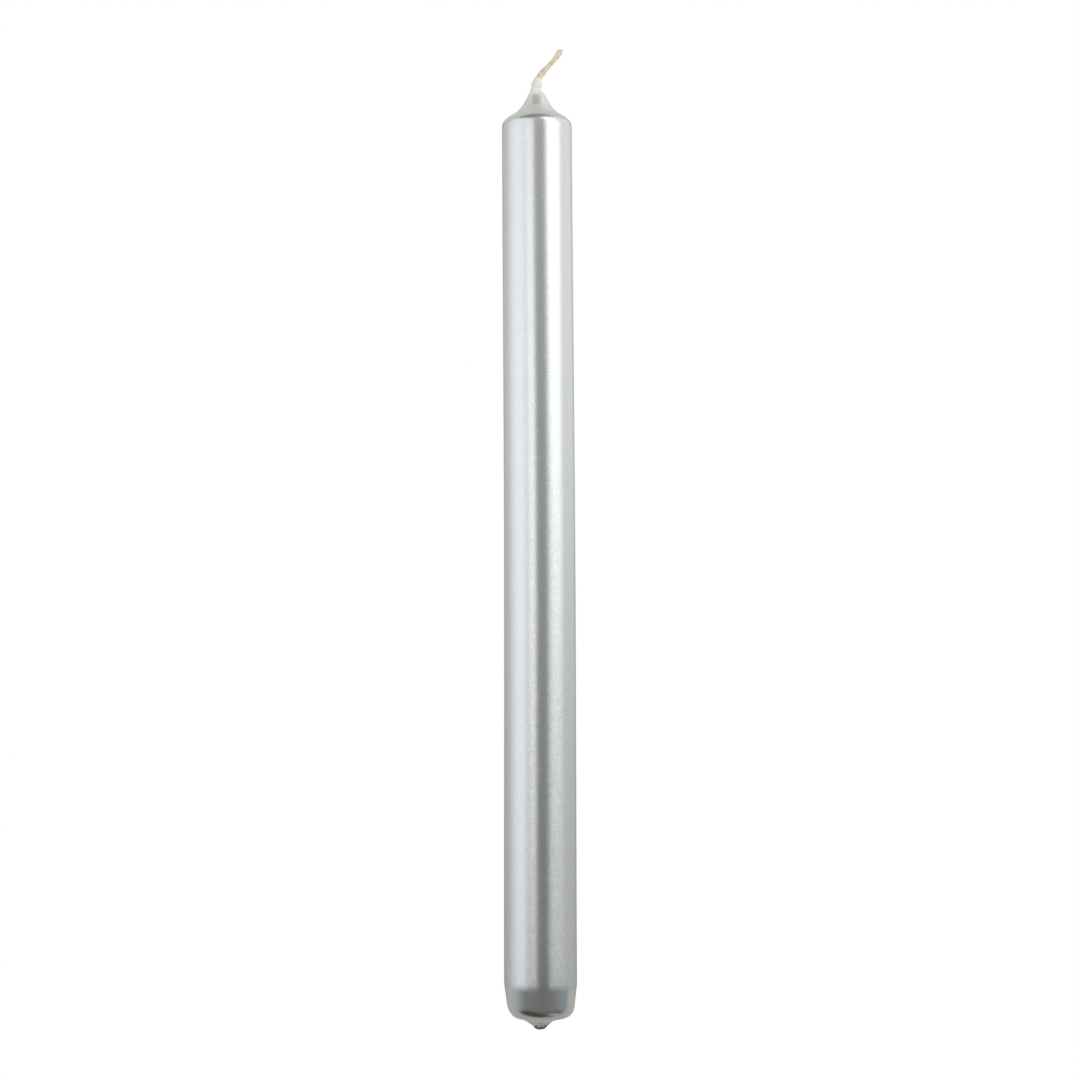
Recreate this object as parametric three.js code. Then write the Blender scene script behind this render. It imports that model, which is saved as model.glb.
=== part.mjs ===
// A silver-lacquered dinner candle. Millimetres, +Z up. The origin is on the candle's axis, at the
// tip of the drip under its foot. +X is the way that the wick leans.
//
// From the inside out: a plaited wick of three strands, its priming wax, the pressed paraffin core,
// a jacket of clearer dipping wax and a skin of metallic lacquer. A collar of bare wax closes the
// neck round the wick, and a hardened drip closes the foot.
import * as THREE from 'three';

// The finished candle's outline, from the foot up. Each bend is the control point of a curve.
const DRIP_RADIUS = 4.0;
const DRIP_EDGE = 2.55;
const UNDERSIDE_RADIUS = 6.8;
const UNDERSIDE_EDGE = 3.95;
const CORNER_BEND = [9.4, 3.5];
const CORNER_RADIUS = 10.2;
const CORNER_TOP = 7.4;
const FOOT_RADIUS = 11.0;
const FOOT_TAPER_TOP = 15.2;
const TOP_RADIUS = 10.5;
const SHOULDER_START = 272.0;
const SHOULDER_BEND = [10.5, 273.85];
const SHOULDER_RADIUS = 7.5;
const SHOULDER_END = 275.45;
const CONE_BEND = [4.65, 276.95];
const NECK_RADIUS = 2.45;
const NECK_END = 281.8;

// The bare wax collar above the lacquer, and the drip below it
const COLLAR_TOP = 285.6;
const COLLAR_RADIUS = 1.75;
const COLLAR_FLARE = 0.2;
const DRIP_TIP = 0.35;
const DRIP_TIP_RADIUS = 1.75;

// Thickness of each layer, and the clearance between layers that touch on the real candle
const LACQUER = 0.15;
const JACKET = 0.8;
const FIT = 0.05;
const SKIN = LACQUER + FIT;
const CORE_DEPTH = SKIN + JACKET + FIT;

// The pressed core: a rod with broken edges, its foot a little narrower
const CORE_FOOT = 5.2;
const CORE_HEAD = 270.4;
const CORE_CHAMFER = 1.2;
const CORE_FOOT_INSET = 0.8;

// The wick: a plait of three strands in a sleeve of priming wax
const STRANDS = 3;
const STRAND_DIAMETER = 0.5;
const PLAIT_HALF_WIDTH = 0.7;
const PLAIT_HALF_DEPTH = 0.5;
const PLAIT_PITCH = 4.8;
const STEPS_PER_PITCH = 6;
const SLEEVE_INSIDE = 1.02;
const SLEEVE_OUTSIDE = 1.25;
const SLEEVE_FOOT = 0.5;
const SLEEVE_TOP = 284.2;
const WICK_BORE = SLEEVE_OUTSIDE + FIT;

// The wick runs straight up the axis, then leans out in one soft S above the collar
const WICK_FOOT = 0.2;
const WICK_STRAIGHT = 284.4;
const WICK_BEND = [[0, 288.5], [4.4, 290.2], [7.0, 295.3]];

// Facets round the body, round the small pieces, and along each curve of the outline
const BODY_FACETS = 36;
const SMALL_FACETS = 18;
const CURVE_STEPS = 5;

const point = (radius, z) => new THREE.Vector2(radius, z);

// The lacquered outline: from the edge of the drip, round the foot, up the body and over the
// shoulder to the neck
function candleOutline() {
  const path = new THREE.Path();
  path.moveTo(DRIP_RADIUS, DRIP_EDGE);
  path.lineTo(UNDERSIDE_RADIUS, UNDERSIDE_EDGE);
  path.quadraticCurveTo(...CORNER_BEND, CORNER_RADIUS, CORNER_TOP);
  path.lineTo(FOOT_RADIUS, FOOT_TAPER_TOP);
  path.lineTo(TOP_RADIUS, SHOULDER_START);
  path.quadraticCurveTo(...SHOULDER_BEND, SHOULDER_RADIUS, SHOULDER_END);
  path.quadraticCurveTo(...CONE_BEND, NECK_RADIUS, NECK_END);
  return path.getPoints(CURVE_STEPS);
}

// Moves every point of an open outline, listed upwards, in towards the axis, square to the
// outline there
function inset(points, distance) {
  return points.map((here, i) => {
    const before = points[Math.max(i - 1, 0)];
    const after = points[Math.min(i + 1, points.length - 1)];
    const along = after.clone().sub(before).normalize();
    return point(here.x - along.y * distance, here.y + along.x * distance);
  });
}

// A body of revolution about Z, from a closed loop of points listed up the outside and back down
// the inside
function revolve(loop, facets) {
  const geometry = new THREE.LatheGeometry([...loop, loop[0]], facets);
  return geometry.rotateX(Math.PI / 2);
}

function wax(color) {
  return new THREE.MeshStandardMaterial({ color, roughness: 0.45, metalness: 0 });
}

function piece(name, geometry, material) {
  const mesh = new THREE.Mesh(geometry, material);
  mesh.name = name;
  return mesh;
}

const outline = candleOutline();
const waxSkin = inset(outline, SKIN);

function silverCoat() {
  const inside = inset(outline, LACQUER).reverse();
  const lacquer = new THREE.MeshStandardMaterial({ color: 0xc3c7c8, roughness: 0.36, metalness: 0.9 });
  return piece('silver_coat', revolve([...outline, ...inside], BODY_FACETS), lacquer);
}

// The jacket's hollow, which follows the body's slight taper
function coreCavity() {
  const foot = CORNER_RADIUS - CORE_DEPTH - CORE_FOOT_INSET;
  const belly = FOOT_RADIUS - CORE_DEPTH;
  const head = TOP_RADIUS - CORE_DEPTH;
  return [
    point(WICK_BORE, CORE_FOOT),
    point(foot - CORE_CHAMFER, CORE_FOOT),
    point(foot, CORE_FOOT + CORE_CHAMFER),
    point(belly, FOOT_TAPER_TOP),
    point(head, CORE_HEAD - CORE_CHAMFER),
    point(head - CORE_CHAMFER, CORE_HEAD),
    point(WICK_BORE, CORE_HEAD),
  ];
}

// The jacket fills the lacquer from its lower edge to just under its neck
function waxJacket() {
  const outside = waxSkin.slice(0, -1);
  const below = point(WICK_BORE, outside[0].y);
  const above = point(WICK_BORE, outside.at(-1).y);
  const loop = [below, ...outside, above, ...coreCavity().reverse()];
  return piece('wax_jacket', revolve(loop, BODY_FACETS), wax(0xdfe0da));
}

function coreWax() {
  const rod = inset(coreCavity(), FIT);
  const below = point(WICK_BORE, rod[0].y);
  const above = point(WICK_BORE, rod.at(-1).y);
  return piece('core_wax', revolve([below, ...rod.slice(1, -1), above], BODY_FACETS), wax(0xf1ede2));
}

// The collar starts inside the lacquer's neck, on top of the jacket, and climbs the wick
function neckCollar() {
  const [seat, rim] = waxSkin.slice(-2);
  const loop = [
    point(WICK_BORE, seat.y + FIT),
    point(seat.x - FIT, seat.y + FIT),
    rim,
    point(COLLAR_RADIUS, NECK_END + 1),
    point(COLLAR_RADIUS, COLLAR_TOP - COLLAR_FLARE),
    point(COLLAR_RADIUS - COLLAR_FLARE / 2, COLLAR_TOP),
    point(WICK_BORE + COLLAR_FLARE, COLLAR_TOP),
    point(WICK_BORE, SLEEVE_TOP),
  ];
  return piece('neck_collar', revolve(loop, SMALL_FACETS), wax(0xe6e3da));
}

// The hardened drip: a small hollow-sided cone with the wick's cut end in its tip
function footDrip() {
  const top = waxSkin[0].y - FIT;
  const radius = DRIP_RADIUS - 3 * FIT;
  const sides = new THREE.QuadraticBezierCurve(
    point(DRIP_TIP_RADIUS, DRIP_TIP),
    point(DRIP_TIP_RADIUS + FIT, DRIP_EDGE / 2),
    point(radius, DRIP_EDGE - FIT),
  );
  const loop = [
    point(WICK_BORE, DRIP_TIP),
    ...sides.getPoints(CURVE_STEPS),
    point(radius, top),
    point(WICK_BORE, top),
  ];
  return piece('foot_drip', revolve(loop, SMALL_FACETS), wax(0xa9aba6));
}

function wickPriming() {
  const loop = [
    point(SLEEVE_OUTSIDE, SLEEVE_FOOT),
    point(SLEEVE_OUTSIDE, SLEEVE_TOP),
    point(SLEEVE_INSIDE, SLEEVE_TOP),
    point(SLEEVE_INSIDE, SLEEVE_FOOT),
  ];
  return piece('wick_priming', revolve(loop, SMALL_FACETS), wax(0xeeead8));
}

// The middle of the wick, in the plane Y = 0
function wickRoute() {
  const foot = new THREE.Vector3(0, 0, WICK_FOOT);
  const turn = new THREE.Vector3(0, 0, WICK_STRAIGHT);
  const bend = WICK_BEND.map(([x, z]) => new THREE.Vector3(x, 0, z));
  const route = new THREE.CurvePath();
  route.add(new THREE.LineCurve3(foot, turn));
  route.add(new THREE.CubicBezierCurve3(turn, ...bend));
  return route;
}

// One strand of a flat three-strand plait: it swings once across the wick's width and twice
// through its depth in each pitch
class StrandCurve extends THREE.Curve {
  constructor(route, phase) {
    super();
    this.route = route;
    this.phase = phase;
    this.pitches = route.getLength() / PLAIT_PITCH;
  }

  getPoint(t, target = new THREE.Vector3()) {
    const angle = 2 * Math.PI * this.pitches * t + this.phase;
    const along = this.route.getTangent(t);
    const across = new THREE.Vector3(along.z, 0, -along.x);
    target.copy(this.route.getPoint(t));
    target.addScaledVector(across, PLAIT_HALF_WIDTH * Math.cos(angle));
    target.y += PLAIT_HALF_DEPTH * Math.sin(2 * angle);
    return target;
  }

  // Equal steps along the plait, so that the three strands keep step with each other
  getUtoTmapping(u) {
    return u;
  }
}

function wickStrands() {
  const route = wickRoute();
  const section = new THREE.Shape();
  section.absarc(0, 0, STRAND_DIAMETER / 2, 0, 2 * Math.PI);
  const steps = Math.round((route.getLength() / PLAIT_PITCH) * STEPS_PER_PITCH);
  return Array.from({ length: STRANDS }, (_, i) => {
    const extrudePath = new StrandCurve(route, (2 * Math.PI * i) / STRANDS);
    const geometry = new THREE.ExtrudeGeometry(section, { steps, extrudePath, curveSegments: 2 });
    return piece(`wick_strand_${i + 1}`, geometry, wax(0xe8dfc4));
  });
}

const candle = new THREE.Group();
candle.add(silverCoat(), waxJacket(), coreWax(), neckCollar(), footDrip(), wickPriming());
candle.add(...wickStrands());

export default candle;
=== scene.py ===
"""A silver-lacquered dinner candle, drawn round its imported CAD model. Metres, +Z up.

The origin is the tip of the drip under the foot, and +X is the way that the wick leans. Each CAD
node is stood for by a fine mesh of the same size: the lacquer skin with its slight waviness, the
wax inside it, the bare collar, the crumbled drip, and the plaited, waxed wick. Shapes are worked
out in millimetres and turned into metres as each mesh is made.
"""

import math

import bpy
import numpy as np
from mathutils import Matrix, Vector, noise


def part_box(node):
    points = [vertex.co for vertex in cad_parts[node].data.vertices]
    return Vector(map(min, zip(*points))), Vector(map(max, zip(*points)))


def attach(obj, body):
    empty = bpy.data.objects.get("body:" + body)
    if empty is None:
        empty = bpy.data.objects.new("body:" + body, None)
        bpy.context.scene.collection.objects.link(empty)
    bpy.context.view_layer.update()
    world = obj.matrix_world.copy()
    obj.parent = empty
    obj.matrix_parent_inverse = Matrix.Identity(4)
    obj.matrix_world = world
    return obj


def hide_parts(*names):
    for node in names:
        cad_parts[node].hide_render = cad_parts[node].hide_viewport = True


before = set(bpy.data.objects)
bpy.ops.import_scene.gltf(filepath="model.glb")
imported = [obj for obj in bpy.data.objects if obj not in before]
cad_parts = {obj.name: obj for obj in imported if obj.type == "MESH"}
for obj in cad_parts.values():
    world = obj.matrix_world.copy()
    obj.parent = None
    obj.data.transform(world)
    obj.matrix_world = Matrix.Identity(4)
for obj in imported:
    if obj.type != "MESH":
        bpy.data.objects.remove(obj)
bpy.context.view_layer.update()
MM = 0.001

# ---------------------------------------------------------------- sizes
CORE_LOW, CORE_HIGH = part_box("core_wax")
_, COLLAR_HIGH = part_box("neck_collar")
SLEEVE_LOW, SLEEVE_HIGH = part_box("wick_priming")
WAX_HEIGHT = COLLAR_HIGH.z / MM

# Thickness of each layer, and the clearance between them
LACQUER = 0.15
JACKET = 0.8
FIT = 0.05
SKIN = LACQUER + FIT
CORE_DEPTH = SKIN + JACKET + FIT
SLEEVE_INSIDE = 1.02
SLEEVE_OUTSIDE = SLEEVE_HIGH.x / MM
WICK_BORE = SLEEVE_OUTSIDE + FIT

# The lacquered outline, (radius, height), with a bend before each curved stretch
DRIP_EDGE = (4.0, 2.55)
UNDERSIDE = (6.8, 3.95)
CORNER_BEND = (9.4, 3.5)
CORNER = (10.2, 7.4)
TAPER = (10.82, 12.4)
TAPER_BEND = (11.0, 13.8)
FOOT = (11.0, 15.2)
SHOULDER = (10.5, 272.0)
SHOULDER_BEND = (10.5, 273.85)
CONE_FOOT = (7.5, 275.45)
CONE_BEND = (4.65, 276.95)
NECK = (2.45, 281.8)

# The pressed core has broken edges, and its foot is a little narrower
CORE_CHAMFER = 1.2
CORE_FOOT_INSET = 0.8

# A stick candle is never quite straight: this one bows towards +X at mid-height. Its skin swells
# and sinks a little in long waves and in short ones.
BOW = 0.3
LONG_WAVES, SHORT_WAVES = 0.018, 0.003

# The collar: height, and how far it reaches to the left (-X) and right (+X) of the axis. Its wall
# is nowhere thinner than LEAST_WAX.
COLLAR_ROWS = (
    (281.2, -2.35, 2.35),
    (281.8, -2.28, 2.23),
    (282.3, -2.10, 1.86),
    (282.9, -1.96, 1.44),
    (283.4, -1.84, 1.24),
    (283.9, -1.73, 1.43),
    (284.5, -1.66, 1.62),
    (285.1, -1.60, 1.58),
    (285.6, -1.36, 1.44),
    (286.1, -0.98, 1.38),
    (286.6, -0.74, 1.56),
    (286.9, -0.52, 1.72),
)
LEAST_WAX = 0.1

# The wick's route: straight up the axis, then out to +X in one soft S
WICK_FOOT = 0.35
WICK_STRAIGHT = 284.4
WICK_BEND = ((0.25, 288.4), (4.75, 290.2), (7.4, 295.2))

# The plait: three strands of three yarns each, with priming wax between them that fills it out to
# an oval. PLAIT_TURN is in radians, and YARN_TWIST in radians to a millimetre.
STRANDS = 3
STRAND_RADIUS = 0.37
PLAIT_HALF_WIDTH = 0.55
PLAIT_HALF_DEPTH = 0.40
PLAIT_PITCH = 6.0
PLAIT_TURN = 0.6
YARNS, YARN_RELIEF, YARN_TWIST = 3, 0.03, 2.4
FILLING_HALF_WIDTH = 0.90
FILLING_HALF_DEPTH = 0.76

# The wick's two ends are rounded over these lengths, and its cut foot is a little blunter. There
# the strands draw together and get thinner, to these shares.
TIP_ROUNDING, FOOT_ROUNDING, FOOT_BLUNTNESS = 0.9, 1.1, 0.35
END_WIDTH, END_THICKNESS = 0.25, 0.35

# The distance between the rings of points along the wick, inside the candle and out of it
HIDDEN_STEP, BARE_STEP = 0.42, 0.08

# Points round each kind of piece
SKIN_SEGMENTS = 112
DRIP_SEGMENTS = 96
WAX_SEGMENTS = 72
COLLAR_SEGMENTS = 64
WICK_SEGMENTS = 32
DOME_SEGMENTS = 16
STRAND_SEGMENTS = 15


# ---------------------------------------------------------------- outlines and meshes
def line(a, b, count):
    """count points from a towards b, without b."""
    a, b = np.array(a), np.array(b)
    return [tuple(a + (b - a) * i / count) for i in range(count)]


def bend(a, control, b, count):
    """count points of a quadratic curve from a towards b, without b."""
    a, c, b = np.array(a), np.array(control), np.array(b)
    steps = [i / count for i in range(count)]
    return [tuple(a * (1 - t) ** 2 + c * 2 * t * (1 - t) + b * t * t) for t in steps]


def candle_outline():
    """The outside of the lacquer, from the drip's edge to the neck."""
    points = line(DRIP_EDGE, UNDERSIDE, 10) + bend(UNDERSIDE, CORNER_BEND, CORNER, 20)
    points += line(CORNER, TAPER, 10) + bend(TAPER, TAPER_BEND, FOOT, 10)
    points += line(FOOT, SHOULDER, 136)
    points += bend(SHOULDER, SHOULDER_BEND, CONE_FOOT, 22)
    return points + bend(CONE_FOOT, CONE_BEND, NECK, 26) + [NECK]


def inset(points, distance):
    """An open outline, listed upwards, moved in towards the axis by a distance."""
    out = []
    for i, (r, z) in enumerate(points):
        r0, z0 = points[max(i - 1, 0)]
        r1, z1 = points[min(i + 1, len(points) - 1)]
        along = Vector((r1 - r0, z1 - z0)).normalized()
        out.append((r - along.y * distance, z + along.x * distance))
    return out


def bowed(p):
    """A point moved by the candle's bow, which fades out towards both ends."""
    share = min(max(p[2] / WAX_HEIGHT, 0.0), 1.0)
    return Vector((p[0] + BOW * math.sin(math.pi * share) ** 2, p[1], p[2]))


def rough(p, scale, seed=0.0):
    """Smooth noise from -1 to 1 at a point, with features about 1/scale mm apart."""
    return noise.noise(Vector((p[0] * scale + seed, p[1] * scale - seed, p[2] * scale)))


def new_piece(name, points, faces, material, smooth=True):
    """A mesh from points in millimetres."""
    mesh = bpy.data.meshes.new(name)
    mesh.from_pydata([tuple(c * MM for c in p) for p in points], [], faces)
    mesh.update()
    mesh.polygons.foreach_set("use_smooth", [smooth] * len(mesh.polygons))
    mesh.materials.append(material)
    piece = bpy.data.objects.new(name, mesh)
    bpy.context.scene.collection.objects.link(piece)
    return piece


def on_candle(piece, slot, *nodes):
    """Every piece stands still with the candle, and stands for CAD nodes if it has any."""
    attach(piece, "root")
    if nodes:
        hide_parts(*nodes)


def ring_faces(rows, segments, closed):
    """Quads between rows of points. closed joins the last row to the first."""
    faces = []
    for i in range(rows if closed else rows - 1):
        here, above = i * segments, ((i + 1) % rows) * segments
        for k in range(segments):
            nxt = (k + 1) % segments
            faces.append((here + k, here + nxt, above + nxt, above + k))
    return faces


def outwards(angle):
    """The direction away from the axis at an angle round it."""
    return Vector((math.cos(angle), math.sin(angle), 0))


def turns(segments):
    """The angles of evenly spaced points round a circle."""
    return [2 * math.pi * k / segments for k in range(segments)]


def revolve(name, loop, segments, material, shape=None):
    """A ring-shaped solid from a loop of (radius, height), up the outside and down the inside.

    shape, if there is one, moves each point, and is given its angle.
    """
    points = []
    for r, z in loop:
        for a in turns(segments):
            p = Vector((r * math.cos(a), r * math.sin(a), z))
            points.append(bowed(shape(p, a) if shape else p))
    return new_piece(name, points, ring_faces(len(loop), segments, True), material)


def sweep(name, rings, material):
    """A solid through rings of points, closed at both ends by a fan."""
    segments, count = len(rings[0]), len(rings)
    points = [p for ring in rings for p in ring]
    faces = ring_faces(count, segments, False)
    for ring, first, turn in ((rings[0], 0, -1), (rings[-1], (count - 1) * segments, 1)):
        middle = len(points)
        points.append(sum(ring, Vector()) / segments)
        for k in range(segments):
            pair = (first + k, first + (k + 1) % segments)
            faces.append((*pair[::turn], middle))
    return new_piece(name, points, faces, material)


# ---------------------------------------------------------------- node graphs
class Graph:
    """Short names for building a node tree."""

    def __init__(self, tree):
        self.tree = tree

    def node(self, kind, inputs=None, **settings):
        made = self.tree.nodes.new(kind)
        for key, value in settings.items():
            setattr(made, key, value)
        for key, value in (inputs or {}).items():
            self.put(made.inputs[key], value)
        return made

    def put(self, socket, value):
        """Links another node's output to a socket, or sets the socket to a constant."""
        if isinstance(value, bpy.types.NodeSocket):
            self.tree.links.new(value, socket)
        elif isinstance(value, (tuple, list)) and len(value) == 3 and socket.type == "RGBA":
            socket.default_value = (*value, 1)
        else:
            socket.default_value = value

    def math(self, operation, a, b=0.0, clamp=False):
        made = self.node("ShaderNodeMath", {0: a, 1: b}, operation=operation, use_clamp=clamp)
        return made.outputs[0]

    def vector(self, operation, a, b=(0, 0, 0)):
        return self.node("ShaderNodeVectorMath", {0: a, 1: b}, operation=operation).outputs[0]

    def scaled(self, vector, factor):
        made = self.node("ShaderNodeVectorMath", {0: vector, "Scale": factor}, operation="SCALE")
        return made.outputs[0]

    def ramp(self, value, start, end, kind="SMOOTHSTEP"):
        """0 before start, 1 after end. end may be under start."""
        made = self.node("ShaderNodeMapRange", {"Value": value}, interpolation_type=kind)
        falls = end < start
        self.put(made.inputs["From Min"], min(start, end))
        self.put(made.inputs["From Max"], max(start, end))
        self.put(made.inputs["To Min"], 1.0 if falls else 0.0)
        self.put(made.inputs["To Max"], 0.0 if falls else 1.0)
        return made.outputs["Result"]

    def mix(self, factor, a, b):
        """A colour between a and b. The node's sockets share names, so they go by number."""
        made = self.node("ShaderNodeMix", {0: factor, 6: a, 7: b}, data_type="RGBA")
        return made.outputs[2]

    def blend(self, factor, a, b):
        """A number between a and b."""
        made = self.node("ShaderNodeMix", {0: factor, 2: a, 3: b}, data_type="FLOAT")
        return made.outputs[0]

    def both(self, *factors):
        """The product of all the factors."""
        product = factors[0]
        for factor in factors[1:]:
            product = self.math("MULTIPLY", product, factor)
        return product

    def noise(self, place, scale, detail=3.0, roughness=0.5):
        inputs = {"Vector": place, "Scale": scale, "Detail": detail, "Roughness": roughness}
        return self.node("ShaderNodeTexNoise", inputs).outputs["Fac"]

    def bump(self, height, strength, millimetres):
        inputs = {"Height": height, "Strength": strength, "Distance": millimetres * MM}
        return self.node("ShaderNodeBump", inputs).outputs["Normal"]


class Look:
    """A new material with its graph, its shader and the object coordinates."""

    def __init__(self, name):
        self.material = bpy.data.materials.new(name)
        self.material.use_nodes = True
        self.graph = Graph(self.material.node_tree)
        self.shader = self.material.node_tree.nodes["Principled BSDF"]
        self.place = self.graph.node("ShaderNodeTexCoord").outputs["Object"]
        split = self.graph.node("ShaderNodeSeparateXYZ", {0: self.place})
        self.x, self.y, self.z = split.outputs

    def over(self, value, start, end):
        """A soft step over a stretch given in millimetres."""
        return self.graph.ramp(value, start * MM, end * MM)

    def set(self, **values):
        """Fills the shader's sockets, named with _ for each space, and returns the material."""
        for key, value in values.items():
            self.graph.put(self.shader.inputs[key.replace("_", " ")], value)
        return self.material


# ---------------------------------------------------------------- materials
def silver_lacquer():
    """Metal flakes in a thin clear lacquer: grey silver that thins out to bare wax at the neck."""
    look = Look("silver_lacquer")
    g = look.graph
    dark_flake, bright_flake = (0.785, 0.805, 0.805), (0.855, 0.870, 0.865)
    wax, painted_neck_reflection = (0.74, 0.72, 0.67), (0.40, 0.39, 0.34)
    # each flake lies at its own small tilt, and has its own tint and polish
    flakes = g.node("ShaderNodeTexVoronoi", {"Vector": look.place, "Scale": 2900.0}, feature="F1")
    speck = flakes.outputs["Color"]
    flat = g.node("ShaderNodeNewGeometry").outputs["Normal"]
    tilt = g.scaled(g.vector("SUBTRACT", speck, (0.5, 0.5, 0.5)), 0.034)
    normal = g.vector("NORMALIZE", g.vector("ADD", flat, tilt))
    flake, tint, _ = g.node("ShaderNodeSeparateXYZ", {0: speck}).outputs
    shade = g.blend(0.6, g.noise(look.place, 160.0), tint)
    metal = g.mix(shade, dark_flake, bright_flake)
    # painted reflection: a soft dark patch painted on the camera's side of the cone's neck
    painted_neck_patch = g.both(
        look.over(g.math("ABSOLUTE", g.math("SUBTRACT", look.x, 0.05 * MM)), 1.9, 0.7),
        look.over(look.z, 277.5, 278.9),
        look.over(look.z, 281.8, 280.7),
        look.over(look.y, -0.8, -1.8),
        g.blend(g.noise(look.place, 1500.0, 2.0), 0.45, 0.75),
    )
    # the lacquer thins out over the cone, and ends in bare wax above a soft edge
    ragged = g.math("ADD", look.z, g.math("MULTIPLY", g.noise(look.place, 700.0), 1.2 * MM))
    bare = look.over(ragged, 281.2, 282.5)
    cone = look.over(look.z, 274.9, 276.2)
    sheer = g.math("MAXIMUM", g.math("MULTIPLY", cone, 0.45), bare)
    # the painted dark reflection is laid over both the lacquer and the bare wax
    colour = g.mix(painted_neck_patch, g.mix(sheer, metal, wax), painted_neck_reflection)
    # it is duller over the cone, and duller still towards the neck
    roughness = g.blend(g.math("FRACT", g.math("MULTIPLY", flake, 7.0)), 0.2135, 0.2705)
    roughness = g.blend(cone, roughness, 0.42)
    roughness = g.blend(look.over(look.z, 277.0, 280.0), roughness, 0.55)
    return look.set(
        Base_Color=colour,
        Metallic=g.math("MULTIPLY", g.math("SUBTRACT", 1.0, sheer), g.blend(flake, 0.95, 1.0)),
        Roughness=g.blend(bare, roughness, 0.5),
        Normal=normal,
    )


def glow_through(look, weight):
    """Light that enters the wax and scatters back out of it, warmer than it went in."""
    return look.set(
        Subsurface_Weight=weight, Subsurface_Radius=(1.0, 0.85, 0.6), Subsurface_Scale=1.0 * MM
    )


def dipping_wax():
    """Slightly cloudy, slightly see-through wax with a faint orange-peel surface."""
    look = Look("dipping_wax")
    g = look.graph
    look.set(
        Base_Color=g.mix(g.noise(look.place, 260.0, 4.0), (0.70, 0.70, 0.65), (0.80, 0.80, 0.76)),
        Roughness=g.blend(g.noise(look.place, 780.0), 0.38, 0.55),
        Normal=g.bump(g.noise(look.place, 1300.0, 5.0), 0.25, 0.05),
    )
    return glow_through(look, 0.3)


def pressed_wax():
    """The core: wax granules pressed together, each a little different."""
    look = Look("core_wax")
    g = look.graph
    wobble = g.node("ShaderNodeTexNoise", {"Vector": look.place, "Scale": 500.0}).outputs["Color"]
    place = g.vector("ADD", look.place, g.scaled(wobble, 1.2 * MM))
    grains = g.node("ShaderNodeTexVoronoi", {"Vector": place, "Scale": 750.0}, feature="F1")
    shade = g.node("ShaderNodeSeparateXYZ", {0: grains.outputs["Color"]}).outputs[0]
    colour = g.mix(shade, (0.80, 0.76, 0.66), (0.92, 0.90, 0.84))
    height = g.math("SUBTRACT", 1.0, grains.outputs["Distance"])
    look.set(
        Base_Color=colour,
        Roughness=g.blend(shade, 0.5, 0.7),
        Normal=g.bump(height, 0.4, 0.12),
    )
    return glow_through(look, 0.2)


def collar_wax():
    """Bare wax, stained amber where the wick leaves it, and creamier in the drop on the shoulder."""
    look = Look("bare_wax")
    g = look.graph
    amber, cream = (0.84, 0.74, 0.52), (0.83, 0.78, 0.63)
    cloudy = g.mix(g.noise(look.place, 400.0, 2.0), (0.75, 0.725, 0.67), (0.80, 0.78, 0.735))
    ragged = g.math("ADD", look.z, g.math("MULTIPLY", g.noise(look.place, 1400.0), 0.9 * MM))
    stain = g.both(look.over(ragged, 285.8, 286.8), look.over(look.x, -0.6, 0.3))
    colour = g.mix(g.math("MULTIPLY", stain, 0.85), cloudy, amber)
    colour = g.mix(look.over(look.z, 276.0, 275.0), colour, cream)
    return look.set(
        Base_Color=colour,
        Roughness=g.blend(g.noise(look.place, 900.0), 0.45, 0.6),
        Normal=g.bump(g.noise(look.place, 900.0, 2.0), 0.15, 0.05),
    )


def drip_wax():
    """The drip: wax under thin lacquer, darker in blotches towards its crumbled tip.

    The blotches are brown on the left and blue-grey on the right, and spread more on the right.
    """
    look = Look("drip_wax")
    g = look.graph
    grey = g.mix(g.noise(look.place, 700.0, 4.0), (0.66, 0.67, 0.63), (0.80, 0.81, 0.77))
    right = look.over(look.x, -0.7, 0.5)
    # darker blotches, brown on the left and blue-grey on the right, spreading towards the bottom
    dark_blotch = g.mix(right, (0.125, 0.098, 0.080), (0.085, 0.100, 0.120))
    blotch = g.noise(look.place, 1700.0, 4.0, 0.6)
    low = look.over(look.z, 2.5, 0.7)
    darkening = g.math("ADD", g.math("MULTIPLY", low, 0.26), g.math("MULTIPLY", right, 0.07))
    amount = g.ramp(g.math("ADD", blotch, darkening), 0.56, 0.72)
    coated = look.over(look.z, 0.9, 2.2)
    unblotched = g.math("SUBTRACT", 1.0, amount)
    return look.set(
        Base_Color=g.mix(amount, grey, dark_blotch),
        Metallic=g.both(coated, unblotched, 0.92),
        Roughness=g.blend(amount, 0.36, 0.7),
        Normal=g.bump(g.noise(look.place, 2600.0, 5.0), 0.4, 0.06),
    )


# The wick's browned spots: their colour, and the x, height and radius of each
TAN = (0.60, 0.48, 0.29)
TAN_SPOTS = ((4.3, 291.1, 0.9), (1.75, 288.9, 0.95), (0.5, 287.2, 0.9))


def tan_spots(look):
    """How brown the wick is, from 0 to 1."""
    g = look.graph
    amount = 0.0
    for x, z, radius in TAN_SPOTS:
        across = g.math("SUBTRACT", look.x, x * MM)
        up = g.math("MULTIPLY", g.math("SUBTRACT", look.z, z * MM), 0.75)
        away = g.math("SQRT", g.math("ADD", g.both(across, across), g.both(up, up)))
        amount = g.math("ADD", amount, look.over(away, radius, 0.1))
    return g.math("MULTIPLY", amount, 0.85, clamp=True)


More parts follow.
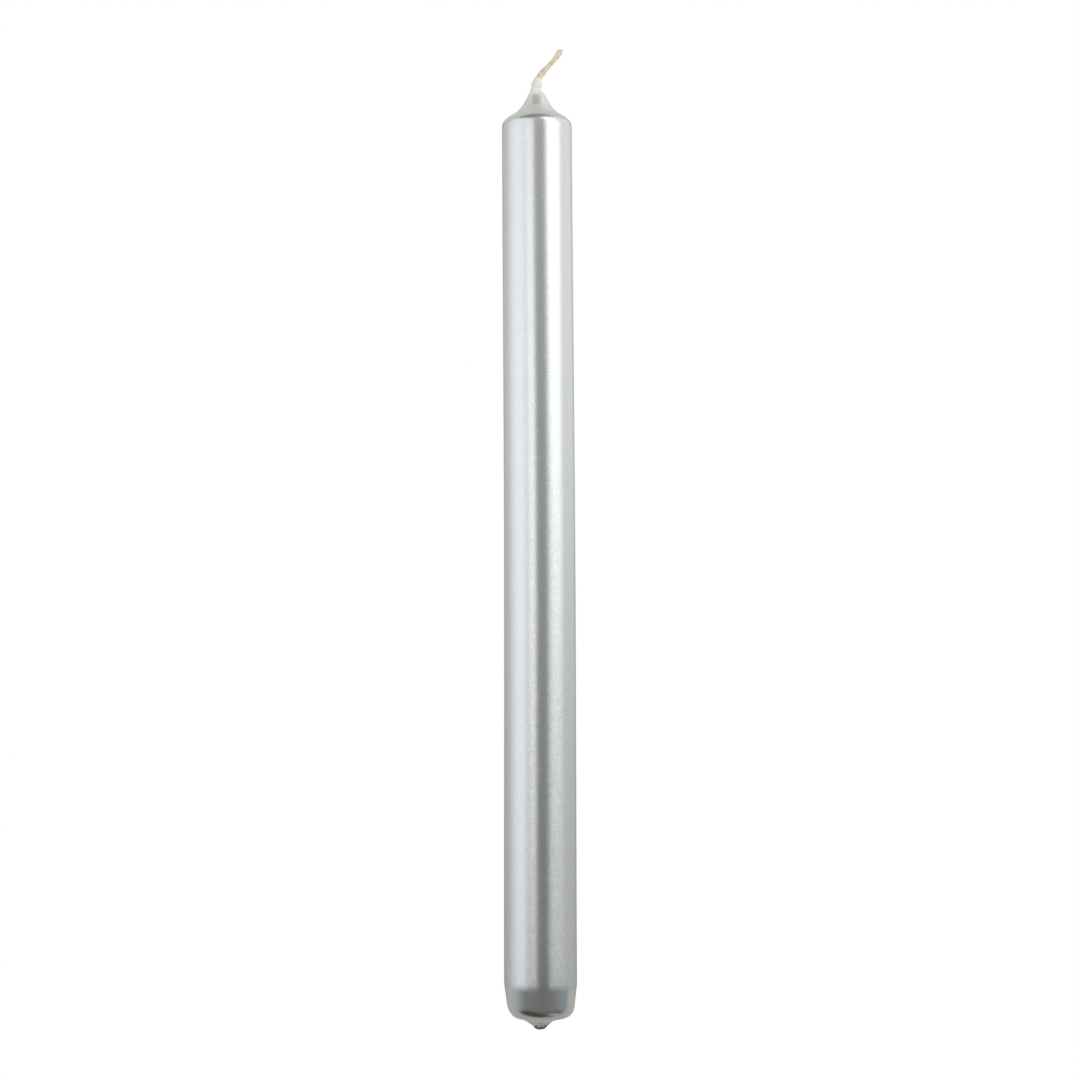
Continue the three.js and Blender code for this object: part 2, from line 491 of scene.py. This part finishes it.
def waxed_cotton():
    """Bleached cotton yarn soaked in wax: cream, with painted shade turning it tan in its creases,
    and darker at the cut foot.
    """
    look = Look("waxed_cotton")
    g = look.graph
    # painted shade: the deeper a point lies in the plait's creases, the more tan it is painted
    crease_shade = g.node("ShaderNodeAttribute", attribute_name="crease_shade").outputs["Fac"]
    mottled = g.mix(g.noise(look.place, 700.0, 2.0), (0.65, 0.57, 0.405), (0.74, 0.665, 0.505))
    darkening = g.math("ADD", crease_shade, g.math("MULTIPLY", g.noise(look.place, 450.0, 2.0), 0.5))
    cream = g.mix(g.ramp(darkening, 0.5, 1.2), mottled, (0.54, 0.43, 0.25))
    cream = g.mix(tan_spots(look), cream, TAN)
    # darker towards the cut foot
    dark_foot_tone = g.mix(g.noise(look.place, 2200.0), (0.05, 0.04, 0.03), (0.20, 0.15, 0.11))
    return look.set(
        Base_Color=g.mix(look.over(look.z, 1.3, 0.5), cream, dark_foot_tone),
        Roughness=g.blend(crease_shade, 0.55, 0.7),
        Normal=g.bump(g.noise(look.place, 1500.0, 2.0), 0.15, 0.05),
    )


def priming_wax():
    """The hard, creamy wax that fills and sheathes the wick."""
    look = Look("priming_wax")
    g = look.graph
    cloudy = g.mix(g.noise(look.place, 500.0, 3.0), (0.68, 0.60, 0.43), (0.76, 0.69, 0.52))
    return look.set(
        Base_Color=g.mix(tan_spots(look), cloudy, TAN),
        Roughness=g.blend(g.noise(look.place, 1500.0), 0.42, 0.58),
        Normal=g.bump(g.noise(look.place, 2000.0, 3.0), 0.1, 0.05),
    )


SILVER = silver_lacquer()
JACKET_WAX = dipping_wax()
CORE_WAX = pressed_wax()
BARE_WAX = collar_wax()
DRIP_WAX = drip_wax()
PRIMING_WAX = priming_wax()
COTTON = waxed_cotton()


# ---------------------------------------------------------------- camera and studio
# The picture is FIELD wide at the candle. The camera stands a little to the right, and leans a
# quarter of a degree.
FIELD = 325.5
FOCAL, SENSOR = 85.0, 36.0
CAMERA_HEIGHT = 147.5
CAMERA_ASIDE = 0.42
CAMERA_ROLL = 0.25


def camera():
    """An 85 mm lens at mid-height, far enough off to see the candle from end to end."""
    data = bpy.data.cameras.new("camera")
    data.lens, data.sensor_width = FOCAL, SENSOR
    data.clip_start, data.clip_end = 0.01, 20.0
    made = bpy.data.objects.new("camera", data)
    bpy.context.scene.collection.objects.link(made)
    distance = FIELD * FOCAL / SENSOR
    made.location = (CAMERA_ASIDE * MM, -distance * MM, CAMERA_HEIGHT * MM)
    made.rotation_euler = (math.radians(90), math.radians(CAMERA_ROLL), 0)
    bpy.context.scene.camera = made


# What the lacquer sees all round it, in degrees: azimuth 0 is the camera's side and 90 is +X.
# Each card has its azimuth from and to, how soft it is at each of them, its brightness at the five
# HEIGHTS above the horizon, and its tint. BESIDE is what shows between the cards.
HEIGHTS = (-26.0, -12.0, -3.0, 5.0, 10.0)
BESIDE = ((0.66, 0.36, 0.57, 0.84, 0.82), (1.00, 1.01, 0.97))
CARDS = (
    (-400, -96, 1, 30, (0.66, 0.40, 0.50, 0.60, 0.56), (0.98, 1.00, 0.99)),
    (-10, 30, 6, 10, (0.38, 0.08, 0.23, 0.36, 0.42), (1.00, 1.00, 0.98)),
    (-97, -44, 30, 13, (0.94, 0.70, 1.01, 1.12, 0.91), (0.97, 0.99, 1.03)),
    (-34, -14, 6, 6, (0.98, 0.22, 1.07, 1.46, 0.85), (0.99, 1.00, 1.01)),
    (33, 76, 13, 12, (1.08, 0.21, 0.88, 1.52, 1.70), (0.97, 1.01, 1.00)),
    (148, 400, 16, 1, (0.60, 0.30, 0.40, 0.46, 0.44), (0.98, 1.00, 0.98)),
    (-400, -148, 1, 14, (0.60, 0.30, 0.40, 0.46, 0.44), (0.98, 1.00, 0.99)),
)

# Overhead, a dark bar lies across in front of a pale ceiling. Its places and its soft edges are
# shares of the ceiling's height, and OVERHEAD is where the cards end, as the sine of the height.
OVERHEAD = (0.25, 0.4)
CEILING = (0.62, 0.62, 0.59)
BAR = (0.25, 0.25, 0.235)
BAR_NEAR, BAR_FAR = (-0.62, -0.22), (0.52, 0.34)
BAR_NEAR_CURVE, BAR_FAR_CURVE = 1.5, 0.75
BAR_SLANT = 0.55

FLOOR_REACH = 4000

# Name, place and size of each soft light in millimetres, and its power in watts
LIGHTS = (
    ("left", (-420, -560, 420), 380, 0.8),
    ("right", (460, -520, 380), 380, 0.7),
    ("behind", (-150, 620, 420), 380, 0.7),
    ("low", (300, -150, 60), 200, 0.2),
)


def cards(g, x, y, z):
    """The glow of the cards all round, towards (x, y, z)."""
    degrees = 180 / math.pi
    azimuth = g.math("MULTIPLY", g.math("ARCTAN2", x, g.math("MULTIPLY", y, -1.0)), degrees)
    height = g.math("MULTIPLY", g.math("ARCSINE", z), degrees)
    rises = [g.ramp(height, *HEIGHTS[:2])]
    rises += [g.ramp(height, *pair, "LINEAR") for pair in zip(HEIGHTS[1:], HEIGHTS[2:])]

    def shade(levels, tint):
        tones = [tuple(level * t for t in tint) for level in levels]
        tone = tones[0]
        for rise, above in zip(rises, tones[1:]):
            tone = g.mix(rise, tone, above)
        return tone

    colour = shade(*BESIDE)
    for start, end, soft_start, soft_end, levels, tint in CARDS:
        inside = g.both(
            g.ramp(azimuth, start - soft_start, start + soft_start),
            g.ramp(azimuth, end + soft_end, end - soft_end),
        )
        colour = g.mix(inside, colour, shade(levels, tint))
    return colour


def overhead(g, colour, x, y, z):
    """The cards' glow with the bar and the ceiling above it, towards (x, y, z).

    The bar's two edges curve towards each other, so that it narrows towards its ends.
    """
    level = g.math("MAXIMUM", z, 0.05)
    across, back = g.math("DIVIDE", x, level), g.math("DIVIDE", y, level)
    wide = g.math("MULTIPLY", across, across)
    near = g.math("SUBTRACT", back, g.math("MULTIPLY", wide, BAR_NEAR_CURVE))
    near = g.math("SUBTRACT", near, g.math("MULTIPLY", across, BAR_SLANT))
    far = g.math("ADD", back, g.math("MULTIPLY", wide, BAR_FAR_CURVE))
    above = g.math("MULTIPLY", g.ramp(z, *OVERHEAD), g.ramp(near, *BAR_NEAR))
    colour = g.mix(above, colour, CEILING)
    return g.mix(g.both(above, g.ramp(far, *BAR_FAR)), colour, BAR)


def studio():
    """A world of soft cards for the lacquer to reflect, which the camera sees as plain white."""
    world = bpy.data.worlds.new("studio")
    bpy.context.scene.world = world
    world.use_nodes = True
    tree = world.node_tree
    tree.nodes.clear()
    g = Graph(tree)
    toward = g.node("ShaderNodeTexCoord").outputs["Generated"]
    x, y, z = g.node("ShaderNodeSeparateXYZ", {0: toward}).outputs
    colour = overhead(g, cards(g, x, y, z), x, y, z)
    seen = g.node("ShaderNodeLightPath").outputs["Is Camera Ray"]
    colour = g.mix(seen, colour, (1.0, 1.0, 1.0))
    shader = g.node("ShaderNodeBackground", {"Color": colour, "Strength": 1.0})
    g.node("ShaderNodeOutputWorld", {"Surface": shader.outputs[0]})


def soft_light(name, place, size, power):
    """A large area light that brightens wax and cotton without showing in the lacquer."""
    middle = Vector((0, 0, 150 * MM))
    data = bpy.data.lights.new(name, "AREA")
    data.size, data.energy = size * MM, power
    made = bpy.data.objects.new(name, data)
    bpy.context.scene.collection.objects.link(made)
    made.location = Vector(place) * MM
    made.rotation_euler = (middle - made.location).to_track_quat("-Z", "Y").to_euler()
    made.visible_glossy = False


def glowing(name):
    """A stage material that only shines, and its graph and shader."""
    made = bpy.data.materials.new(name)
    made.use_nodes = True
    shader = made.node_tree.nodes["Principled BSDF"]
    shader.inputs["Base Color"].default_value = (0, 0, 0, 1)
    shader.inputs["Specular IOR Level"].default_value = 0.0
    shader.inputs["Emission Strength"].default_value = 1.0
    return made, Graph(made.node_tree), shader


def level_sheet(name, half, z, material):
    """A square stage sheet that reaches half its width to each side of the axis."""
    corners = [(-half, -half, z), (half, -half, z), (half, half, z), (-half, half, z)]
    sheet = new_piece(name, corners, [(0, 1, 2, 3)], material, smooth=False)
    sheet.visible_diffuse = False
    return sheet


def floor():
    """A pale floor. The lacquer sees the studio instead of it."""
    made, g, shader = glowing("floor")
    g.put(shader.inputs["Emission Color"], (1.0, 1.0, 1.0))
    level_sheet("floor", FLOOR_REACH, 0, made).visible_glossy = False


# The glowing sheet round the foot, in millimetres and radians: only reflections see it, and its
# colours are painted reflections in place of a table. TABLE is its pale top in front, behind and
# at the back left. SHADE is its painted dark zone on the left, in the middle and on the right, and
# its darkest crescent and its glint are painted too. The sheet fades out between TABLE_FADES and
# TABLE_REACH from the axis.
TABLE = ((0.38, 0.39, 0.36), (0.44, 0.45, 0.42), (0.32, 0.33, 0.31))
SHADE = ((0.155, 0.16, 0.17), (0.155, 0.145, 0.135), (0.205, 0.255, 0.255))
PAINTED_CRESCENT = (0.042, 0.039, 0.034)
GLINT = (0.76, 0.89, 1.05)
GLINT_AWAY, GLINT_AZIMUTH = 16.2, 0.63
TABLE_REACH, TABLE_FADES = 72, 50
TABLE_Z = -0.4


def painted_foot_reflection(g, x, y, away):
    """The painted reflection's colour round the foot, at (x, y) and at its distance from the axis.

    It is painted dark in front, with a sharp edge towards the foot and a soft one on the left, and
    darkest in a painted crescent close to the foot with one painted glint in it. Everywhere else it
    is pale.
    """
    azimuth = g.math("ARCTAN2", x, g.math("MULTIPLY", y, -1.0))
    pale = g.mix(g.ramp(y, -10, 10), TABLE[0], TABLE[1])
    pale = g.mix(g.ramp(azimuth, -2.1, -2.8), pale, TABLE[2])
    tone = g.mix(g.ramp(azimuth, -0.9, -0.2), SHADE[0], SHADE[1])
    tone = g.mix(g.ramp(azimuth, 0.4, 1.3), tone, SHADE[2])
    # the dark zone lies in front of a shallow V and of a curve round the foot
    shallow = g.math("SUBTRACT", y, g.math("MULTIPLY", g.math("ABSOLUTE", x), 0.18))
    slanted = g.math("SUBTRACT", y, g.math("MULTIPLY", x, 0.35))
    curve = g.blend(g.ramp(x, -1.0, 1.0), 0.020, 0.013)
    curved = g.math("SUBTRACT", y, g.both(curve, x, x))
    front = g.ramp(curved, -11.1, -12.3)
    dark = g.both(g.ramp(shallow, -8.4, -9.8), g.ramp(slanted, 9.5, -18.5), front)
    # painted shade: the darkest crescent of the reflection, close to the foot
    crescent = g.both(g.ramp(x, -19.5, -12.5), front, g.ramp(y, -21.0, -15.5))
    crescent = g.both(crescent, g.blend(g.ramp(x, 4.5, 0.5), 0.55, 1.0), g.ramp(x, 24, 16))
    # painted highlight: one small glint in the crescent's right part
    glint = g.both(
        g.ramp(g.math("ABSOLUTE", g.math("SUBTRACT", away, GLINT_AWAY)), 0.9, 0.3),
        g.ramp(g.math("ABSOLUTE", g.math("SUBTRACT", azimuth, GLINT_AZIMUTH)), 0.34, 0.1),
    )
    return g.mix(glint, g.mix(crescent, g.mix(dark, pale, tone), PAINTED_CRESCENT), GLINT)


def foot_shade():
    """The sheet of painted reflections round the foot, in place of a table.

    Only reflections see it, and it fades out at its rim.
    """
    made, g, shader = glowing("foot_shade")
    place = g.scaled(g.node("ShaderNodeTexCoord").outputs["Object"], 1 / MM)
    x, y, _ = g.node("ShaderNodeSeparateXYZ", {0: place}).outputs
    away = g.node("ShaderNodeVectorMath", {0: place}, operation="LENGTH").outputs["Value"]
    g.put(shader.inputs["Emission Color"], painted_foot_reflection(g, x, y, away))
    g.put(shader.inputs["Alpha"], g.ramp(away, TABLE_REACH, TABLE_FADES))
    sheet = level_sheet("foot_shade", TABLE_REACH, TABLE_Z, made)
    sheet.visible_camera = False
    sheet.visible_shadow = False


# ---------------------------------------------------------------- the candle's body
def foot_sway(z):
    """How far the foot's uneven last drips lean to the right, by height."""
    heights = (0.0, 1.7, 2.6, 3.6, 5.0, 7.5, 15.0)
    return np.interp(z, heights, (-0.15, -0.18, -0.38, 0.1, 0.27, 0.1, 0.0))


def wavy(p, a):
    """A point of the dipped skin, moved by its slight unevenness and by the foot's lean."""
    long = noise.noise(Vector((p.x * 0.045, p.y * 0.045, p.z * 0.02)))
    short = noise.noise(Vector((p.x * 0.15 + 7, p.y * 0.15 + 3, p.z * 0.05 + 1)))
    push = LONG_WAVES * long + SHORT_WAVES * short
    return p + outwards(a) * push + Vector((foot_sway(p.z), 0, 0))


def lacquer_skin(outline):
    """The thin skin of silver lacquer, open at the neck and under the foot."""
    loop = outline + inset(outline, LACQUER)[::-1]
    piece = revolve("lacquer_skin", loop, SKIN_SEGMENTS, SILVER, wavy)
    on_candle(piece, "silver_lacquer", "silver_coat")


def skin_radius(z):
    """The body's radius by height, up to the round of its shoulder."""
    (foot_r, foot_z), (top_r, top_z) = FOOT, SHOULDER
    return np.interp(z, (foot_z, top_z, top_z + 1.8), (foot_r, top_r, top_r - 0.5))


def domes(name, drops, material):
    """Low domes set a quarter into the skin, from (size, degrees round the axis, height)."""
    rings, segments = 6, DOME_SEGMENTS
    sunk, tall, proud = 0.25, 1.25, 0.8
    points, faces = [], []
    for size, degrees, z in drops:
        out, up = outwards(math.radians(degrees)), Vector((0, 0, 1))
        aside = Vector((-out.y, out.x, 0))
        middle = out * (skin_radius(z) - sunk * size) + up * z
        first = len(points)
        for i in range(rings):
            tilt = math.pi / 2 * i / rings
            for b in turns(segments):
                flat = size * math.cos(tilt)
                p = middle + (aside * math.cos(b) + up * tall * math.sin(b)) * flat
                points.append(bowed(p + out * size * proud * math.sin(tilt)))
        faces += [tuple(first + i for i in f) for f in ring_faces(rings, segments, False)]
        for centre, row in ((middle, 0), (middle + out * size * proud, rings - 1)):
            points.append(bowed(centre))
            for k in range(segments):
                pair = (first + row * segments + k, first + row * segments + (k + 1) % segments)
                faces.append((*(pair if row else pair[::-1]), len(points) - 1))
    return new_piece(name, points, faces, material)


def drops_and_nibs():
    """A drop of bare wax that dried on the shoulder, and specks of dust under the lacquer."""
    on_candle(domes("shoulder_drop", [(0.42, -34, 272.5)], BARE_WAX), "bare_wax")
    nibs = [(0.14, -78, 30.0), (0.13, -97, 143.0), (0.12, 150, 96.0), (0.14, 40, 215.0)]
    on_candle(domes("lacquer_nibs", nibs, SILVER), "silver_lacquer")


def core_cavity():
    """The jacket's hollow, from the foot up."""
    foot = CORNER[0] - CORE_DEPTH - CORE_FOOT_INSET
    belly, head = FOOT[0] - CORE_DEPTH, SHOULDER[0] - CORE_DEPTH
    low, high, chamfer = CORE_LOW.z / MM - FIT, CORE_HIGH.z / MM + FIT, CORE_CHAMFER
    points = line((WICK_BORE, low), (foot - chamfer, low), 6)
    points += line((foot - chamfer, low), (foot, low + chamfer), 3)
    points += line((foot, low + chamfer), (belly, FOOT[1]), 6)
    points += line((belly, FOOT[1]), (head, high - chamfer), 90)
    points += line((head, high - chamfer), (head - chamfer, high), 3)
    return points + line((head - chamfer, high), (WICK_BORE, high), 6) + [(WICK_BORE, high)]


def wax_jacket(outline):
    """The last dips of clearer wax, which fill the lacquer from its edge to under its neck."""
    slack, neck_rows = 0.04, 4
    outside = inset(outline, SKIN + slack)[:-neck_rows]
    below = (WICK_BORE, outside[0][1])
    above = (WICK_BORE, outside[-1][1])
    hollow = core_cavity()[::-1]
    loop = line(below, outside[0], 4) + outside + line(outside[-1], above, 3) + [above]
    piece = revolve("dipped_jacket", loop + hollow, WAX_SEGMENTS, JACKET_WAX)
    on_candle(piece, "dipping_wax", "wax_jacket")


def core_wax():
    """The pressed rod, with a bore for the wick and a slightly grained side."""
    rod = inset(core_cavity(), FIT)
    below, above = (WICK_BORE, rod[0][1]), (WICK_BORE, rod[-1][1])

    grain, near_bore = 0.0015, 2.0

    def grained(p, a):
        return p * (1 + grain * rough(p, 0.9)) if math.hypot(p.x, p.y) > near_bore else p

    loop = [below, *rod[1:-1], *line(above, below, 60)]
    piece = revolve("pressed_core", loop, WAX_SEGMENTS, CORE_WAX, grained)
    on_candle(piece, "core_wax", "core_wax")


# ---------------------------------------------------------------- neck and drip
def smooth_rows(rows, count):
    """Rows of numbers joined by a Catmull-Rom curve, count steps between each two."""
    rows = np.array(rows)
    padded = np.vstack([2 * rows[0] - rows[1], rows, 2 * rows[-1] - rows[-2]])
    out = []
    for i in range(len(rows) - 1):
        a, b, c, d = padded[i : i + 4]
        for t in np.arange(count) / count:
            bent = 2 * b + (c - a) * t + (2 * a - 5 * b + 4 * c - d) * t**2
            out.append((bent + (3 * b - a - 3 * c + d) * t**3) / 2)
    return out + [rows[-1]]


def neck_collar():
    """Bare wax that runs up the wick, lumpy, and ragged on its right.

    It is smooth where it sits in the lacquer's neck. Near its top its bore closes on the wick.
    """
    outside, inside = [], []
    for z, left, right in smooth_rows(COLLAR_ROWS, 5):
        middle, half = (left + right) / 2, (right - left) / 2
        wick_x = WICK.at_height(z).x
        bore = min(np.interp(z, (284.6, 286.2), (WICK_BORE, 0.92)), half - LEAST_WAX)
        free = np.interp(z, (NECK[1], NECK[1] + 1.0), (0, 1))
        outer_ring, inner_ring = [], []
        for a in turns(COLLAR_SEGMENTS):
            out = outwards(a)
            p = Vector((middle, 0, z)) + out * half
            lump = free * (0.04 * rough(p, 0.6, 4.0) + 0.006 * rough(p, 1.8, 9.0))
            outer_ring.append(p + out * lump)
            inner_ring.append(Vector((wick_x, 0, z)) + out * bore)
        outside.append(outer_ring)
        inside.append(inner_ring)
    rings = outside + inside[::-1]
    points = [p for ring in rings for p in ring]
    piece = new_piece("collar", points, ring_faces(len(rings), COLLAR_SEGMENTS, True), BARE_WAX)
    on_candle(piece, "bare_wax", "neck_collar")


def foot_drip():
    """A hollow-sided cone whose tip is crumbled, with the wick's cut end in it."""
    edge = (DRIP_EDGE[0] - 0.08, DRIP_EDGE[1] - 0.03)
    top = DRIP_EDGE[1] + SKIN
    seat, bore = (edge[0] - 0.1, top), (WICK_BORE, top)
    mouth, tip, waist, flare = (0.55, 0.06), (1.85, 0.78), (1.85, 0.72), (2.75, 1.62)
    throat = (WICK_BORE, 0.9)
    loop = bend(mouth, (1.35, 0.12), tip, 12) + bend(waist, (2.3, 1.35), flare, 12)
    loop += bend(flare, (3.3, 2.0), edge, 14) + line(edge, seat, 3) + line(seat, bore, 6)
    loop += line(bore, throat, 6) + line(throat, mouth, 6)

    def crumbled(p, a):
        low = np.interp(p.z, (0.2, 1.9), (1.0, 0.12)) if p.z < top - 0.1 else 0.0
        push = low * (0.16 * rough(p, 1.1, 2.0) + 0.12 * rough(p, 2.8, 5.0) + 0.05 * rough(p, 6.5))
        lift = low * 0.10 * rough(p, 2.1, 8.0)
        moved = p + outwards(a) * push + Vector((foot_sway(p.z), 0, lift))
        return Vector((moved.x, moved.y, max(moved.z, 0.01)))

    piece = revolve("crumbled_drip", loop, DRIP_SEGMENTS, DRIP_WAX, crumbled)
    on_candle(piece, "drip_wax", "foot_drip")


# ---------------------------------------------------------------- the wick
class Route:
    """The wick's middle line in the plane Y = 0, by the distance along it."""

    def __init__(self):
        a, b, c, d = (np.array(p) for p in ((0.0, WICK_STRAIGHT), *WICK_BEND))
        t = np.linspace(0, 1, 200)[:, None]
        curve = a * (1 - t) ** 3 + 3 * b * t * (1 - t) ** 2 + 3 * c * t**2 * (1 - t) + d * t**3
        heights = np.linspace(WICK_FOOT, WICK_STRAIGHT, 400, endpoint=False)
        upright = [(bowed((0, 0, z)).x, z) for z in heights]
        self.points = np.vstack([upright, curve])
        steps = np.linalg.norm(np.diff(self.points, axis=0), axis=1)
        self.along = np.concatenate([[0], np.cumsum(steps)])
        self.length = self.along[-1]

    def at(self, s):
        x, z = (np.interp(s, self.along, column) for column in self.points.T)
        return Vector((x, 0, z))

    def at_height(self, z):
        return Vector((np.interp(z, self.points[:, 1], self.points[:, 0]), 0, z))

    def frame(self, s):
        """The place, the direction along the wick and the direction across it."""
        before, after = self.at(max(s - 0.2, 0)), self.at(min(s + 0.2, self.length))
        along = (after - before).normalized()
        return self.at(s), along, Vector((along.z, 0, -along.x))


WICK = Route()
DEPTH = Vector((0, 1, 0))


def plait_stations():
    """Distances along the wick: dense where the wick is bare, wider apart where it is hidden."""
    bare = WICK_STRAIGHT - 2.0
    hidden = np.arange(0, bare, HIDDEN_STEP)
    return np.concatenate([hidden, np.arange(bare, WICK.length, BARE_STEP)])


def narrowing(s):
    """1 along the wick, and less over its two ends, which are rounded."""
    left = min((WICK.length - s) / TIP_ROUNDING, (s + FOOT_BLUNTNESS) / FOOT_ROUNDING)
    return math.sqrt(max(1 - (1 - left) ** 2, 0.0)) if left < 1 else 1.0


def pinch(s):
    """The bare wick's share of its full width, where its wax drew it together as it set."""
    heights = (286.5, 288.0, 289.2, 290.4, 292.0, 293.0, 294.0)
    return np.interp(WICK.at(s).z, heights, (1.0, 1.04, 0.92, 0.77, 0.80, 0.87, 1.0))


def strand_middle(s, phase):
    """The middle of a strand: across the wick once and through its depth twice in each pitch."""
    place, _, across = WICK.frame(s)
    angle = 2 * math.pi * s / PLAIT_PITCH + phase
    gather = (END_WIDTH + (1 - END_WIDTH) * narrowing(s)) * pinch(s)
    wide = PLAIT_HALF_WIDTH * gather * math.cos(angle)
    deep = PLAIT_HALF_DEPTH * gather * math.sin(2 * angle)
    return place + across * wide + DEPTH * deep


def strand(index):
    """One strand of the plait: three twisted yarns, soaked and slightly swollen."""
    phase = 2 * math.pi * index / STRANDS + PLAIT_TURN
    rings = []
    for s in plait_stations():
        middle = strand_middle(s, phase)
        along = (strand_middle(s + 0.05, phase) - strand_middle(s - 0.05, phase)).normalized()
        side = along.cross(DEPTH).normalized()
        front = side.cross(along)
        thickness = END_THICKNESS + (1 - END_THICKNESS) * narrowing(s)
        size = STRAND_RADIUS * thickness * pinch(s)
        ring = []
        for a in turns(STRAND_SEGMENTS):
            yarn = 1 + YARN_RELIEF * math.cos(YARNS * a + YARN_TWIST * s)
            ring.append(middle + (side * math.cos(a) + front * math.sin(a)) * size * yarn)
        rings.append(ring)
    piece = sweep(f"strand_{index + 1}", rings, COTTON)
    mark_creases(piece)
    on_candle(piece, "waxed_cotton", f"wick_strand_{index + 1}")


def mark_creases(piece):
    """How far each point lies inside the plait: 0 on its outside, 1 in its creases."""
    crease_depth = 0.45
    stations = plait_stations()
    wide, deep = PLAIT_HALF_WIDTH + STRAND_RADIUS, PLAIT_HALF_DEPTH + STRAND_RADIUS
    values = []
    for i, vertex in enumerate(piece.data.vertices):
        s = stations[min(i // STRAND_SEGMENTS, len(stations) - 1)]
        place, _, across = WICK.frame(s)
        offset = vertex.co / MM - place
        out = math.hypot(offset.dot(across) / wide, offset.y / deep)
        values.append(min(max((1.0 - out) / crease_depth, 0.0), 1.0))
    # the cotton's colour uses this value to paint shade into the creases
    crease_shade = piece.data.attributes.new("crease_shade", "FLOAT", "POINT")
    crease_shade.data.foreach_set("value", values)


def wick_priming():
    """The sleeve of hard wax round the plait, inside the candle."""
    low, high = SLEEVE_LOW.z / MM, SLEEVE_HIGH.z / MM
    loop = line((SLEEVE_OUTSIDE, low), (SLEEVE_OUTSIDE, high), 200)
    loop += line((SLEEVE_OUTSIDE, high), (SLEEVE_INSIDE, high), 2)
    loop += line((SLEEVE_INSIDE, high), (SLEEVE_INSIDE, low), 200)
    loop += line((SLEEVE_INSIDE, low), (SLEEVE_OUTSIDE, low), 2)

    runs = 0.02

    def runny(p, a):
        if math.hypot(p.x, p.y) < (SLEEVE_INSIDE + SLEEVE_OUTSIDE) / 2:
            return p
        return p + outwards(a) * (runs * rough(p, 0.5) - runs)

    piece = revolve("priming_sleeve", loop, WICK_SEGMENTS, PRIMING_WAX, runny)
    on_candle(piece, "priming_wax", "wick_priming")


def wick_filling():
    """The priming wax between the strands of the bare wick, up to its rounded tip."""
    rings = []
    for s in np.arange(WICK_STRAIGHT - 1.5, WICK.length - 0.02, BARE_STEP):
        place, _, across = WICK.frame(s)
        shrink = narrowing(s) * pinch(s)
        ring = []
        for a in turns(WICK_SEGMENTS):
            out = across * (FILLING_HALF_WIDTH * math.cos(a))
            out += DEPTH * (FILLING_HALF_DEPTH * math.sin(a))
            lump = 1 + 0.04 * rough(place + out, 1.2, 3.0)
            ring.append(place + out * (shrink * lump))
        rings.append(ring)
    piece = sweep("wick_filling", rings, PRIMING_WAX)
    on_candle(piece, "priming_wax")


def candle():
    """Every piece of the candle, from the lacquer inwards, and then its two ends and its wick."""
    outline = candle_outline()
    lacquer_skin(outline)
    drops_and_nibs()
    wax_jacket(outline)
    core_wax()
    neck_collar()
    foot_drip()
    wick_priming()
    wick_filling()
    for index in range(STRANDS):
        strand(index)


camera()
studio()
floor()
foot_shade()
for light in LIGHTS:
    soft_light(*light)
candle()

bpy.context.scene.view_settings.view_transform = "Standard"
